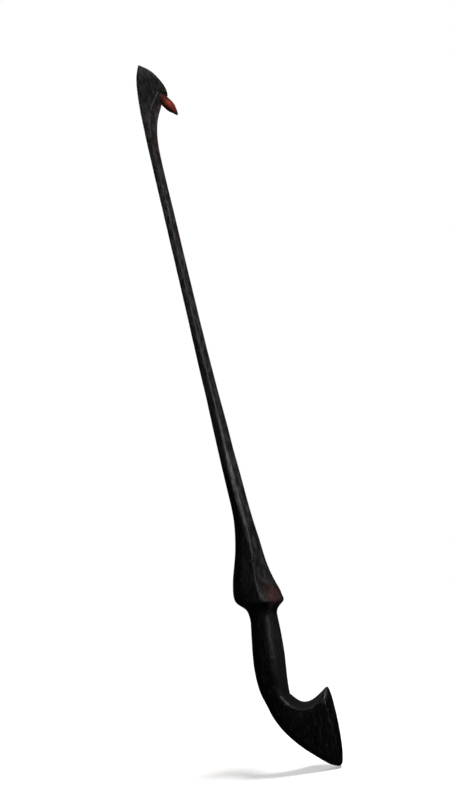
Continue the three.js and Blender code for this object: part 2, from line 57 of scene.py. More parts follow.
# ---------------------------------------------------------------- stations
# The same stations as the carved body's own construction, in millimetres: left edge x, z | right edge x, z |
# half depth | roundness | left crease distance, half depth | right crease distance, half depth | edge half depths |
# upward bow of the station's line.
HEAD_TIP = (9.35, 569.22)
TAIL_END = (42.07, -122.03)
STATIONS = np.array([
    [8.86, 568.6, 10.21, 568.6, 1.6, 0, 0.5, 1.6, 0.86, 1.6, 0.5, 0.5, 0],
    [8.28, 567.6, 11.59, 567.6, 2.08, 0, 0.71, 2.08, 2.75, 2.08, 0.56, 0.59, 0],
    [7.46, 566, 13.83, 566, 2.7, 0, 1, 2.7, 5.71, 2.7, 0.64, 0.73, 0],
    [6.37, 563.5, 16.84, 563.5, 3.34, 0, 1.39, 3.34, 9.67, 3.34, 0.77, 0.94, 0],
    [5.26, 560.5, 19.72, 560.5, 3.91, 0, 1.75, 3.91, 13.49, 3.91, 0.88, 1.16, 0],
    [4.21, 557, 22.31, 557, 4.49, 0, 2.04, 4.49, 16.95, 4.49, 0.98, 1.39, 0],
    [3.39, 553.5, 24.86, 552.6, 4.95, 0, 2.25, 4.95, 20.12, 4.95, 1.05, 1.64, 0.1],
    [2.85, 550.5, 27.34, 547.6, 5.23, 0, 2.33, 5.23, 22.91, 5.23, 1.11, 1.97, 0.5],
    [2.47, 548, 28.91, 543.4, 5.42, 0, 2.38, 5.42, 24.83, 5.42, 1.15, 2.27, 1.3],
    [2.24, 546.2, 29.62, 540.2, 5.54, 0, 2.4, 5.54, 26.03, 5.54, 1.18, 2.43, 2.2],
    [2.09, 545, 29.81, 537.6, 5.6, 0, 2.4, 5.6, 26.69, 5.6, 1.2, 2.53, 2.8],
    [2.01, 544.3, 29.8, 535.95, 5.63, 0, 2.4, 5.63, 27.01, 5.63, 1.21, 2.58, 3.1],
    [1.96, 543.8, 29.69, 535.45, 5.66, 0, 2.4, 5.66, 21.35, 5.66, 1.22, 2.59, 3.1],
    [1.7, 541.4, 29.54, 534.9, 5.77, 0, 2.36, 5.77, 19.82, 5.77, 1.26, 2.59, 2.3],
    [1.42, 538.6, 29.27, 534.4, 5.87, 0, 2.29, 5.86, 18.01, 5.87, 1.3, 2.6, 1.4],
    [1.19, 536, 28.89, 534, 5.92, 0, 2.23, 5.9, 16.45, 5.92, 1.34, 2.6, 0.6],
    [0.99, 533.6, 28.3, 533.6, 5.95, 0, 2.16, 5.92, 15.16, 5.95, 1.37, 2.6, 0],
    [0.84, 531.48, 26.13, 531.48, 5.98, 0, 2.1, 5.93, 13.75, 5.98, 1.4, 2.6, 0],
    [0.69, 529.31, 23.9, 529.31, 5.99, 0, 2.03, 5.93, 12.46, 5.99, 1.44, 2.6, 0],
    [0.57, 527.19, 21.73, 527.19, 6, 0, 1.96, 5.91, 11.38, 6, 1.47, 2.6, 0],
    [0.43, 524.6, 20.54, 524.6, 5.99, 0, 1.89, 5.87, 10.27, 5.99, 1.51, 2.6, 0],
    [0.32, 522, 19.03, 522, 5.98, 0, 1.83, 5.81, 9.33, 5.98, 1.55, 2.6, 0],
    [0.2, 519, 17.35, 519, 5.95, 0, 1.76, 5.72, 8.5, 5.95, 1.6, 2.6, 0],
    [0.09, 515.5, 15.7, 515.5, 5.91, 0, 1.68, 5.62, 7.76, 5.91, 1.66, 2.6, 0],
    [-0.02, 511.5, 14.17, 511.5, 5.85, 0, 1.62, 5.49, 7.12, 5.85, 1.74, 2.63, 0],
    [-0.12, 507, 12.83, 507, 5.78, 0, 1.57, 5.35, 6.57, 5.78, 1.81, 2.73, 0],
    [-0.22, 502, 11.69, 502, 5.71, 0, 1.53, 5.22, 6.07, 5.71, 1.88, 2.86, 0],
    [-0.31, 496, 10.73, 496, 5.64, 0, 1.5, 5.09, 5.33, 5.64, 1.94, 2.97, 0],
    [-0.39, 489, 10.06, 489, 5.6, 0, 1.5, 5, 4.91, 5.6, 2, 3.09, 0],
    [-0.47, 480, 9.66, 480, 5.56, 0, 1.5, 4.94, 4.72, 5.56, 2.07, 3.23, 0],
    [-0.56, 468, 9.49, 468, 5.52, 0, 1.5, 4.89, 4.65, 5.52, 2.1, 3.3, 0],
    [-0.67, 450, 9.51, 450, 5.5, 0, 1.51, 4.84, 4.69, 5.5, 2.1, 3.3, 0],
    [-0.8, 425, 9.62, 425, 5.54, 0, 1.52, 4.74, 4.79, 5.54, 2.1, 3.24, 0],
    [-0.91, 400, 9.61, 400, 5.6, 0, 1.55, 4.54, 4.85, 5.6, 2.1, 3, 0],
    [-1.03, 375, 9.59, 375, 5.67, 0, 1.58, 4.29, 4.92, 5.67, 2.11, 2.73, 0],
    [-1.17, 350, 9.63, 350, 5.75, 0, 1.61, 4.13, 5.02, 5.75, 2.13, 2.5, 0],
    [-1.36, 325, 9.72, 325, 5.84, 0, 1.65, 4.06, 5.18, 5.84, 2.16, 2.36, 0],
    [-1.6, 300, 9.88, 300, 5.95, 0, 1.7, 4.05, 5.39, 5.95, 2.2, 2.3, 0],
    [-1.84, 275, 10.2, 275, 6.12, 0, 1.77, 4.12, 5.69, 6.12, 2.26, 2.33, 0],
    [-1.91, 250, 10.8, 250, 6.35, 0, 1.87, 4.23, 6.04, 6.35, 2.36, 2.4, 0],
    [-2.19, 230, 11.37, 230, 6.57, 0, 1.98, 4.35, 6.49, 6.57, 2.45, 2.47, 0],
    [-2.47, 212, 11.81, 212, 6.8, 0, 2.1, 4.49, 6.88, 6.8, 2.54, 2.55, 0],
    [-2.66, 196, 12.08, 196, 7.04, 0, 2.24, 4.65, 7.17, 7.04, 2.62, 2.62, 0],
    [-2.77, 182, 12.56, 182, 7.3, 0, 2.43, 4.82, 7.53, 7.3, 2.74, 2.73, 0],
    [-2.83, 170, 12.98, 170, 7.6, 0, 2.66, 5.01, 7.96, 7.6, 2.85, 2.84, 0],
    [-2.85, 160, 13.24, 160, 7.9, 0, 2.9, 5.21, 8.35, 7.9, 2.93, 2.93, 0],
    [-2.84, 150, 13.49, 150, 8.26, 0.02, 3.16, 5.45, 8.76, 8.26, 2.98, 2.98, 0],
    [-2.87, 142, 13.74, 142, 8.6, 0.04, 3.4, 5.68, 9.14, 8.6, 3, 3, 0],
    [-3.02, 136, 13.97, 136, 8.9, 0.06, 3.61, 5.87, 9.54, 8.9, 3, 3, 0],
    [-3.29, 131, 14.21, 131, 9.18, 0.08, 3.83, 6.06, 10.02, 9.18, 3, 3, 0],
    [-3.74, 126, 14.48, 126, 9.5, 0.1, 4.08, 6.27, 10.64, 9.5, 3, 3, 0],
    [-4.39, 121, 14.81, 121, 9.86, 0.12, 4.36, 6.51, 11.41, 9.86, 3, 3, 0],
    [-5.22, 116, 15.19, 116, 10.26, 0.15, 4.65, 6.77, 12.31, 10.26, 3, 3, 0],
    [-6.41, 110, 15.71, 110, 10.8, 0.18, 5.03, 7.13, 13.49, 10.8, 3, 3, 0],
    [-7.73, 104, 16.21, 104, 11.41, 0.22, 5.42, 7.54, 14.69, 11.41, 3, 3, 0],
    [-9.25, 98, 16.6, 98, 12.08, 0.26, 5.81, 8.02, 15.94, 12.08, 3, 3, 0],
    [-11.05, 92, 16.94, 92, 12.8, 0.3, 6.2, 8.55, 17.33, 12.8, 3, 3, 0],
    [-13.06, 86, 17.36, 86, 13.57, 0.35, 6.66, 9.14, 18.86, 13.57, 3, 3, 0],
    [-15.13, 80, 17.98, 80, 14.4, 0.4, 7.23, 9.78, 20.5, 14.4, 3, 3, 0],
    [-17.06, 74, 18.89, 74, 15.27, 0.45, 7.78, 10.48, 22.16, 15.27, 3, 3, 0],
    [-18.39, 69, 19.9, 69, 16, 0.5, 8.17, 11.06, 23.46, 16, 3, 3, 0],
    [-19.51, 64, 21.11, 64, 16.7, 0.54, 8.43, 11.63, 24.7, 16.7, 3, 3, 0],
    [-20.28, 60, 22.24, 60, 17.2, 0.57, 8.5, 12.04, 25.67, 17.2, 3, 3, 0],
    [-20.56, 57, 23.17, 57, 17.51, 0.6, 8.5, 12.31, 26.23, 17.51, 3, 3, 0],
    [-20.56, 54.99, 24.32, 52.64, 17.7, 0.69, 8.5, 12.47, 26.81, 17.7, 3, 3, 0],
    [-20.24, 52.54, 24.92, 48.63, 17.9, 0.8, 8.5, 12.65, 26.78, 17.9, 3, 3, 0],
    [-19.12, 49.99, 25.65, 44.71, 17.58, 0.91, 8.5, 12.47, 26.26, 17.58, 3, 3.01, 0],
    [-16.85, 47.17, 25.06, 42.78, 16.23, 0.99, 8.5, 11.55, 24.09, 16.23, 3.01, 3.01, 0],
    [-14.35, 44.76, 22.53, 40.54, 14.72, 1, 8.5, 10.51, 20.84, 14.72, 3.01, 3.01, 0],
    [-12.17, 42.1, 19.74, 38.45, 13.36, 1, 8.5, 9.58, 17.65, 13.36, 3.01, 3.01, 0],
    [-10.9, 38.77, 17.58, 35.91, 12.5, 1, 8.49, 9, 15.45, 12.5, 3.01, 3.02, 0],
    [-10.4, 32.01, 16.3, 31.97, 12, 1, 8.49, 8.72, 14.42, 12, 3.02, 3.02, 0],
    [-11.5, 24.03, 16, 23.99, 12.1, 1, 8.47, 8.89, 14.85, 12.1, 3.04, 3.04, 0],
    [-13.3, 14.04, 15.7, 13.99, 12.4, 1, 8.44, 9.24, 15.66, 12.4, 3.06, 3.06, 0],
    [-15.1, 4.03, 15.2, 3.99, 12.6, 1, 8.39, 9.52, 16.36, 12.6, 3.08, 3.08, 0],
    [-16.6, -5.98, 14.4, -6.02, 12.6, 1, 8.33, 9.66, 16.74, 12.6, 3.11, 3.11, 0],
    [-17.55, -15.99, 13.2, -16.02, 12.3, 1, 8.24, 9.57, 16.6, 12.3, 3.14, 3.14, 0],
    [-17.9, -26, 11.9, -26.02, 11.8, 1, 8.12, 9.32, 16.09, 11.8, 3.17, 3.17, 0],
    [-17.55, -34.02, 10.95, -34.02, 11.2, 0.97, 8, 8.96, 15.39, 11.2, 3.2, 3.2, 0],
    [-16.35, -41.79, 10.39, -44.33, 10.7, 0.88, 7.5, 10.7, 20.25, 10.7, 3.2, 3.2, 0],
    [-15.12, -46.49, 12.06, -46.89, 10.49, 0.72, 6.91, 10.49, 19.71, 10.49, 3.16, 3.14, 0],
    [-13.86, -51.38, 14.36, -49.87, 10.29, 0.5, 6.36, 10.29, 20.84, 10.29, 3.12, 3.08, 0],
    [-12.58, -56.67, 16.97, -52.73, 10.1, 0.3, 5.84, 10.1, 22.49, 10.1, 3.09, 3.01, 0],
    [-11.19, -61.9, 19.69, -54.63, 9.91, 0.14, 5.55, 9.91, 24.19, 9.91, 3.05, 2.94, 0],
    [-9.6, -66.3, 22.42, -55.67, 9.73, 0.05, 5.2, 9.73, 25.72, 9.73, 3.02, 2.87, 0],
    [-7.8, -70.64, 25.53, -55.93, 9.6, 0, 5.01, 9.6, 27.17, 9.6, 3, 2.8, 0],
    [-5.87, -74.83, 28.73, -55.44, 9.51, 0, 4.96, 9.51, 29.25, 9.51, 2.98, 2.71, 0],
    [-3.75, -78.66, 31.89, -54.36, 9.43, 0, 4.85, 9.43, 31.09, 9.43, 2.97, 2.6, 0],
    [-1.66, -82.2, 34.99, -52.77, 9.4, 0, 4.9, 9.4, 33.29, 9.4, 2.95, 2.49, 0],
    [0.43, -85.34, 38.15, -50.99, 9.4, 0, 4.89, 9.4, 35.71, 9.4, 2.94, 2.38, 0],
    [2.46, -88.27, 41.6, -48.8, 9.4, 0, 4.86, 9.4, 38.45, 9.4, 2.93, 2.29, 0],
    [4.31, -90.77, 44.5, -46.94, 9.4, 0, 4.71, 9.4, 41.38, 9.4, 2.92, 2.22, 0],
    [5.74, -92.58, 46.23, -46.63, 9.4, 0, 4.59, 9.4, 43.9, 9.4, 2.91, 2.2, 0],
    [7.09, -94.27, 47.36, -48.55, 9.4, 0, 4.57, 9.4, 47.98, 9.4, 2.91, 2.21, 0],
    [8.85, -96.36, 48.02, -51.96, 9.4, 0, 4.44, 9.4, 49.34, 9.4, 2.9, 2.25, 0],
    [11.16, -98.96, 48.51, -56.88, 9.4, 0, 4.45, 9.4, 46.19, 9.4, 2.89, 2.3, 0],
    [13.72, -101.73, 48.73, -62.9, 9.4, 0, 4.14, 9.4, 42.48, 9.4, 2.88, 2.37, 0],
    [16.7, -104.79, 48.81, -69.08, 9.4, 0, 4, 9.4, 38.42, 9.4, 2.87, 2.43, 0],
    [19.87, -107.9, 48.7, -76.09, 9.4, 0, 3.93, 9.4, 33.98, 9.4, 2.85, 2.5, 0],
    [23.1, -111.11, 48.52, -83.38, 9.4, 0, 3.76, 9.4, 29.31, 9.4, 2.84, 2.55, 0],
    [26.3, -114.13, 48.15, -90.62, 9.4, 0, 3.61, 9.4, 24.47, 9.4, 2.82, 2.59, 0],
    [29.12, -116.66, 47.58, -98.31, 9.4, 0, 3.47, 9.4, 19.31, 9.4, 2.8, 2.6, 0],
    [32.1, -118.95, 46.84, -105.46, 9.4, 0, 3.33, 9.4, 14.07, 9.4, 2.77, 2.6, 0],
    [35.21, -120.78, 45.96, -111.61, 9.4, 0, 3.3, 9.4, 8.59, 9.4, 2.72, 2.6, 0],
    [38.17, -121.98, 44.89, -116.26, 8.65, 0, 2.62, 8.65, 2.97, 8.65, 2.66, 2.6, 0],
    [40.34, -122.54, 43.74, -119.63, 4.64, 0, 1.53, 4.64, 1.71, 4.64, 2.6, 2.6, 0],
])
SPUR_SEAT = np.array([24.8, 0.0, 531.4])
SPUR_TURN = math.radians(28.7)
SPUR_DIR = np.array([math.sin(SPUR_TURN), 0.0, -math.cos(SPUR_TURN)])
SPUR_SIDE = np.array([math.cos(SPUR_TURN), 0.0, math.sin(SPUR_TURN)])   # away from the shaft


def pchip(x, y, xi):
    """Shape-preserving cubic through the rows of y at x, read at xi."""
    h = np.diff(x)
    d = np.diff(y, axis=0) / h[:, None]
    m = np.zeros_like(y)
    m[0], m[-1] = d[0], d[-1]
    w1 = (2 * h[1:] + h[:-1])[:, None]
    w2 = (h[1:] + 2 * h[:-1])[:, None]
    ok = d[:-1] * d[1:] > 0
    a = np.where(ok, d[:-1], 1.0)
    b = np.where(ok, d[1:], 1.0)
    m[1:-1] = np.where(ok, (w1 + w2) / (w1 / a + w2 / b), 0.0)
    k = np.clip(np.searchsorted(x, xi, side="right") - 1, 0, len(h) - 1)
    t = ((xi - x[k]) / h[k])[:, None]
    hk = h[k][:, None]
    return ((2 * t**3 - 3 * t**2 + 1) * y[k] + (t**3 - 2 * t**2 + t) * hk * m[k]
            + (-2 * t**3 + 3 * t**2) * y[k + 1] + (t**3 - t**2) * hk * m[k + 1])


def keyed(pairs, x):
    return np.interp(x, [p[0] for p in pairs], [p[1] for p in pairs])


step = np.maximum(np.hypot(np.diff(STATIONS[:, 0]), np.diff(STATIONS[:, 1])),
                  np.hypot(np.diff(STATIONS[:, 2]), np.diff(STATIONS[:, 3])))
S = np.concatenate([[0.0], np.cumsum(step)])
index = np.arange(len(STATIONS), dtype=float)

# how far apart the fine rings are, by station number
pitch = [(0, 0.45), (8, 0.8), (10.4, 0.7), (10.9, 0.14), (12.1, 0.14), (12.6, 0.6), (22, 0.9), (30, 1.6), (42, 1.5), (50, 1.0), (62, 0.8), (64, 0.5), (71, 0.6), (73, 1.2),
         (78, 1.0), (82, 0.8), (97, 0.8), (103, 0.5), (105, 0.35)]
si = [0.0]
while si[-1] < S[-1]:
    at = np.interp(si[-1], S, index)
    si.append(si[-1] + float(keyed(pitch, at)))
si[-1] = S[-1]
si = np.array(si)
row_no = np.interp(si, S, index)
fine = pchip(S, STATIONS, si)
fine[:, 5] = np.clip(fine[:, 5], 0, 1)
# the ridge wanders a little from its ruled line, as a line cut by eye does
fine[:, 8] += keyed([(36, 0.0), (39, 0.6), (41, 0.1), (43.5, -0.8), (46.5, -1.7), (49, -1.2), (52, 0.0)], row_no)
NR = len(fine)

# how much each crease is rounded (millimetres along each side) and how much each long face bulges
soft_edge = keyed([(0, 0.25), (6, 0.5), (15, 0.55), (22, 0.8), (30, 0.9), (43, 1.2), (62, 2.0), (79, 2.2), (86, 1.7), (105, 1.1)], row_no)
soft_left = keyed([(0, 0.3), (6, 0.5), (19, 0.6), (30, 0.9), (43, 1.3), (62, 2.0), (79, 2.6), (86, 1.6), (105, 1.0)], row_no)
crown_left = keyed([(0, 0.05), (18, 0.08), (24, 0.2), (30, 0.3), (62, 0.4), (79, 0.3), (86, 0.12), (105, 0.05)], row_no)
crown_right = keyed([(0, 0.02), (8, 0.05), (11, 0.05), (12, -0.1), (17, -0.1), (20, -0.35), (24, -0.45), (27, -0.1), (31, 0.2), (62, 0.4), (79, 0.3),
                     (86, 0.25), (105, 0.1)], row_no)
# along the ridge the knife left a narrow flat: its width to either side of the crest, and how flat it is
crest_in = keyed([(0, 0.3), (11, 0.5), (12, 0.8), (19, 0.8), (26, 0.7), (29, 0.5), (33, 0.5), (39, 0.8), (43, 1.4), (47, 1.8), (50, 1.9), (53, 2.2), (56, 1.1), (66, 1.0), (71, 2.2),
                  (79, 3.6), (84, 3.2), (90, 2.8), (105, 1.8)], row_no)
crest_out = keyed([(0, 0.3), (11, 0.5), (12, 0.8), (19, 0.9), (26, 0.8), (29, 0.5), (33, 0.6), (39, 1.4), (44, 1.9), (48, 2.4), (52, 2.8), (56, 1.1), (66, 1.0), (71, 2.2),
                   (79, 3.6), (84, 3.2), (90, 2.8), (105, 1.8)], row_no)
# on the shaft the flat leans about 12 degrees towards the spur's side whatever the facets beside it do
lean = math.tan(math.radians(12))
rise = (fine[:, 4] - fine[:, 7]) / np.maximum(fine[:, 8] - fine[:, 6], 0.3)
fall = (fine[:, 4] - fine[:, 11]) / np.maximum(np.hypot(fine[:, 2] - fine[:, 0], fine[:, 3] - fine[:, 1]) - fine[:, 8], 0.3)
ratio = np.clip((rise + lean) / np.maximum(fall - lean, 0.12), 0.6, 2.2)
shaft_part = keyed([(31, 0.0), (35, 0.8), (38, 1.0), (50, 1.0), (54, 0.0)], row_no)
crest_out = crest_out + (crest_in * ratio - crest_out) * shaft_part
crest_flat = keyed([(0, 0.0), (32, 0.0), (35, 0.35), (38, 0.6), (43, 0.85), (50, 0.7), (56, 0.1), (64, 0.0), (105, 0.0)], row_no)

EPS = 0.045
phi = lambda t: math.pi * (EPS + (1 - 2 * EPS) * t)
PHI = [phi(0), phi(0.2), phi(0.5), phi(1), 2 * math.pi - phi(1), 2 * math.pi - phi(0.5), 2 * math.pi - phi(0.2), 2 * math.pi - phi(0)]
INNER = [2, 10, 10, 2, 10, 10, 2, 2]
CORNER = 5


def rings():
    """Ring points for every fine row: distance from the left edge, depth, and how near a crease each point is."""
    W = np.hypot(fine[:, 2] - fine[:, 0], fine[:, 3] - fine[:, 1])
    T, Q, aL, hL, aR, hR, eL, eR = (fine[:, k] for k in range(4, 12))
    zero = np.zeros(NR)
    V = np.stack([np.stack([zero, -eL], 1), np.stack([aL, -hL], 1), np.stack([aR, -hR], 1), np.stack([W, -eR], 1),
                  np.stack([W, eR], 1), np.stack([aR, hR], 1), np.stack([aL, hL], 1), np.stack([zero, eL], 1)], 0)
    nxt = np.roll(V, -1, axis=0)
    length = np.maximum(np.hypot(*(nxt - V).transpose(2, 0, 1)), 1e-6)
    along = (nxt - V) / length[:, :, None]
    out = np.stack([along[:, :, 1], -along[:, :, 0]], 2)
    crown = [0.06 + zero, crown_left, crown_right, 0.05 + zero, crown_right, crown_left, 0.06 + zero, 0.05 + zero]
    soft_a = [soft_edge, soft_left, crest_in, soft_edge, soft_edge, crest_out, soft_left, soft_edge]
    soft_b = [soft_edge, soft_left, crest_out, soft_edge, soft_edge, crest_in, soft_left, soft_edge]
    blunt = [0, 0, crest_flat, 0, 0, crest_flat, 0, 0]

    def side(k, u):
        bump = np.minimum(crown[k], length[k] * 0.04) * 4 * u * (1 - u)
        return V[k] + (nxt[k] - V[k]) * u[:, None] + out[k] * bump[:, None]

    pts, ang, near = [], [], []
    phis = PHI + [PHI[0] + 2 * math.pi]
    for k in range(8):
        prev = (k - 1) % 8
        d_in = np.minimum(soft_a[k] / length[prev], 0.42)
        d_out = np.minimum(soft_b[k] / length[k], 0.42)
        p0, p1, p2 = side(prev, 1 - d_in), V[k], side(k, d_out)
        f = np.reshape(blunt[k] + zero, (-1, 1))
        p1 = p1 * (1 - f) + (p0 + p2) / 2 * f
        for c in range(CORNER):
            t = c / (CORNER - 1)
            pts.append(p0 * (1 - t) ** 2 + p1 * 2 * t * (1 - t) + p2 * t**2)
            lo = (phis[k] - (phis[prev] if k else phis[7] - 2 * math.pi)) * d_in
            hi = (phis[k + 1] - phis[k]) * d_out
            ang.append(phis[k] - lo * (1 - t) ** 2 + hi * t**2)
            near.append(np.full(NR, 1 - abs(2 * t - 1) * 0.35))
        nk = (k + 1) % 8
        d_end = np.minimum(soft_a[nk] / length[k], 0.42)
        for c in range(1, INNER[k] + 1):
            u = c / (INNER[k] + 1)
            uu = d_out + (1 - d_end - d_out) * u
            pts.append(side(k, uu))
            ang.append(phis[k] + (phis[k + 1] - phis[k]) * uu)
            edge = np.minimum(uu, 1 - uu) * length[k]
            near.append(np.exp(-edge / 0.9) * 0.8)
    P = np.stack(pts, 1)
    A = np.stack(ang, 1)
    round_p = np.stack([W[:, None] / 2 * (1 - np.cos(A)), -T[:, None] * np.sin(A)], 2)
    full = P + (round_p - P) * Q[:, None, None]
    return full, W, np.stack(near, 1)


profile, width, crease = rings()
NC = profile.shape[1]
ux = (fine[:, 2] - fine[:, 0]) / width
uz = (fine[:, 3] - fine[:, 1]) / width
co = np.zeros((NR, NC, 3))
co[:, :, 0] = fine[:, 0:1] + ux[:, None] * profile[:, :, 0]
co[:, :, 1] = profile[:, :, 1]
co[:, :, 2] = fine[:, 1:2] + uz[:, None] * profile[:, :, 0]
reach = np.clip(profile[:, :, 0] / width[:, None], 0, 1)
co[:, :, 2] += fine[:, 12:13] * 6.75 * reach**2 * (1 - reach)

# ---------------------------------------------------------------- hand-tool marks, as real relief
d_row = np.gradient(co, axis=0)
d_col = np.roll(co, -1, 1) - np.roll(co, 1, 1)
normal = np.cross(d_col, d_row)
normal /= np.maximum(np.linalg.norm(normal, axis=2, keepdims=True), 1e-9)
centre = co.mean(1, keepdims=True)
if np.mean(np.sum(normal * (co - centre), 2)) < 0:
    normal = -normal

tip_fade = np.clip(np.minimum(si / 6.0, (S[-1] - si) / 5.0), 0, 1)
lump_zone = keyed([(32, 0.0), (38, 0.35), (43, 1.0), (49, 1.0), (53, 0.3), (55, 0.0)], row_no)
relief = np.zeros((NR, NC))
for i in range(NR):
    for j in range(NC):
        x, y, z = co[i, j]
        slow = noise.noise(Vector((x / 9 + 3.1, y / 9, z / 26)))
        mid = noise.noise(Vector((x / 3.2, y / 3.2 + 7.7, z / 11)))
        fibre = noise.noise(Vector((x / 0.9, y / 0.9, z / 16 + 5.0)))
        value = 0.10 * slow + 0.045 * mid + 0.02 * fibre - 0.11
        if lump_zone[i] > 0 and crease[i, j] > 0.3:
            chop = noise.noise(Vector((x / 3.0, y / 3.0, z / 3.4 + 11.0)))
            value += 0.10 * lump_zone[i] * crease[i, j] * chop
        relief[i, j] = value * tip_fade[i]
co += normal * relief[:, :, None]

# ---------------------------------------------------------------- carved body mesh
points = np.concatenate([[[HEAD_TIP[0], 0, HEAD_TIP[1]]], co.reshape(-1, 3), [[TAIL_END[0], 0, TAIL_END[1]]]]) / 1000.0
points = np.clip(points, np.array(cad_box[0]) + 0.00003, np.array(cad_box[1]) - 0.00003)
faces = []
last = len(points) - 1
for j in range(NC):
    j2 = (j + 1) % NC
    faces.append((0, 1 + j, 1 + j2))
    faces.append((last, 1 + (NR - 1) * NC + j2, 1 + (NR - 1) * NC + j))
for i in range(NR - 1):
    a0 = 1 + i * NC
    b0 = a0 + NC
    for j in range(NC):
        j2 = (j + 1) % NC
        faces.append((a0 + j, b0 + j, b0 + j2, a0 + j2))


def mesh_object(name, pts, fcs):
    me = bpy.data.meshes.new(name)
    me.from_pydata([tuple(p) for p in pts], [], fcs)
    me.update()
    ob = bpy.data.objects.new(name, me)
    scene.collection.objects.link(ob)
    return ob


body = mesh_object("carved_body_wood", points, faces)

# paint: R edge wear, partly a painted highlight along the creases, G how much warm reddish tint is mixed in, B how
# black it is: the stain plus painted shade, A how matt
zz = co[:, :, 2]
xx = co[:, :, 0]
# distance from the right edge, to place the warm tints
from_right = width[:, None] - profile[:, :, 0]
# lighter along every crease: partly edge wear, partly a painted highlight for the light caught on the crease
wear_and_sheen = crease * (1 - fine[:, 5:6] * 0.85)
wear_and_sheen *= keyed([(0, 1.0), (29, 0.9), (42, 1.0), (58, 0.8), (64, 1.0), (68, 0.4), (79, 0.35), (105, 0.45)], row_no)[:, None]
# warm reddish tint: by the right edge below the spur, down the upper shaft's right edge, and a patch low on the bell's
# right where the reddish wood shows
throat = np.exp(-((zz - 524) / 13.0) ** 2) * np.exp(-from_right / 5.0)
upper = np.exp(-((zz - 500) / 22.0) ** 2) * np.exp(-from_right / 2.6) * 0.8
bell = np.exp(-((zz - 50.5) / 9.5) ** 2) * np.exp(-((from_right - 8.5) / 6.0) ** 2) * 1.4
black_bell = np.clip(bell, 0, 1)
warm = np.clip(throat + upper + bell, 0, 1)
# blackness by station: darkest at the head's tip and from the bell down through the grip and tail; on the tail this is
# partly painted shade
stain_and_shade = keyed([(0, 0.95), (3, 0.88), (6, 0.80), (9, 0.74), (20, 0.60), (23, 0.45), (26, 0.38), (30, 0.37), (33, 0.30), (36, 0.22), (42, 0.25), (58, 0.33), (66, 0.6), (72, 0.8), (79, 1.0), (105, 1.0)], row_no)[:, None] + np.zeros_like(zz)
share = profile[:, :, 0] / np.maximum(width[:, None], 1e-6)
# painted shade: left of the ridge the lower shaft and bell are painted blacker, for the faces turned away from the
# light
left_shade_share = keyed([(35, 0.34), (39, 0.46), (41, 0.46), (43, 0.38), (46, 0.36), (52, 0.50), (57, 0.74), (60, 0.74), (63, 0.77), (66, 0.70)], row_no)[:, None]
left_shade_blend = keyed([(46, 0.08), (52, 0.10), (57, 0.24), (60, 0.18), (66, 0.14)], row_no)[:, None]
stain_and_shade += keyed([(35, 0.0), (36.5, 0.34), (39, 0.42), (41, 0.42), (43, 0.6), (46, 0.85)], row_no)[:, None] * np.clip((left_shade_share - share) / left_shade_blend, 0, 1)
# painted shade: inside the scoop beside the spur, under the lip, the wood is painted darkest; it is also the least
# polished
beyond = np.clip((profile[:, :, 0] - fine[:, 8:9] - 0.9) / 1.2, 0, 1)
scoop = beyond * keyed([(11.9, 0.0), (12.0, 1.0), (17, 1.0), (21, 0.6), (25, 0.0)], row_no)[:, None]
stain_and_shade += 0.45 * scoop - 0.3 * throat * scoop
# the black is thinned along the right edge below the spur, so that edge shows lighter
right_edge_thinning = np.exp(-np.clip(from_right, 0, None) / 1.8) * keyed([(14, 0.0), (17, 0.75), (22, 0.75), (26, 0.45), (29, 0.0)], row_no)[:, None]
stain_and_shade = np.clip(stain_and_shade * (1 - 0.75 * black_bell) * (1 - right_edge_thinning), 0, 1)


def with_ends(a):
    return np.concatenate([[a[0].mean()], a.reshape(-1), [a[-1].mean()]])


paint = np.ones((len(points), 4), np.float32)
matte = keyed([(0, 1.9), (1.5, 1.7), (3, 0.9), (5, 0.15), (7, 0.0), (9, 0.1), (50, 0.0), (54, -0.05), (58, -0.1), (66, 0.3), (79, -0.2), (84, -0.4), (105, -0.4)], row_no)[:, None] + np.zeros_like(zz)
matte = matte + 1.2 * scoop
# the narrow sides that face up stay as the file left them
matte = matte + 0.9 * np.clip((share - 0.86) / 0.08, 0, 1) * keyed([(5, 0.0), (7, 1.0), (11, 1.0), (12, 0.0), (88, 0.0), (92, 1.0), (100, 1.0)], row_no)[:, None]
matte = matte + 3.1 * np.clip((share - 0.66) / 0.10, 0, 1) * keyed([(70, 0.0), (74, 1.0), (88, 1.0), (92, 0.0)], row_no)[:, None]
paint[:, 0], paint[:, 1], paint[:, 2], paint[:, 3] = with_ends(wear_and_sheen), with_ends(warm), with_ends(stain_and_shade), with_ends(matte)
layer = body.data.color_attributes.new("paint", "FLOAT_COLOR", "POINT")
layer.data.foreach_set("color", paint.reshape(-1))


# ---------------------------------------------------------------- turned shapes about the spur's axis
def lathe(name, rows, n, closed_tip=True, wobble=0.0):
    """rows: distance along the axis, radius away from the shaft, radius towards the shaft, half depth. Millimetres."""
    pts, fcs = [], []
    for (t, up, down, deep) in rows:
        for k in range(n):
            a = 2 * math.pi * k / n
            c, s = math.cos(a), math.sin(a)
            r = up if c > 0 else down
            p = SPUR_SEAT + SPUR_DIR * t + SPUR_SIDE * (r * c) + np.array([0, 1.0, 0]) * (deep * s)
            if wobble:
                g = noise.noise(Vector((c * 2.1 + 4, s * 2.1, t / 5.0))) * wobble
                g += noise.noise(Vector((c * 6, s * 6 + 9, t / 14.0))) * wobble * 0.5
                p = p + (SPUR_SIDE * c + np.array([0, 1.0, 0]) * s) * g * min(1.0, r / 1.5)
            pts.append(p / 1000.0)
    m = len(rows)
    for i in range(m - 1):
        for k in range(n):
            k2 = (k + 1) % n
            fcs.append((i * n + k, i * n + k2, (i + 1) * n + k2, (i + 1) * n + k))
    fcs.append(tuple(range(n - 1, -1, -1)))
    fcs.append(tuple((m - 1) * n + k for k in range(n)))
    return mesh_object(name, pts, fcs)


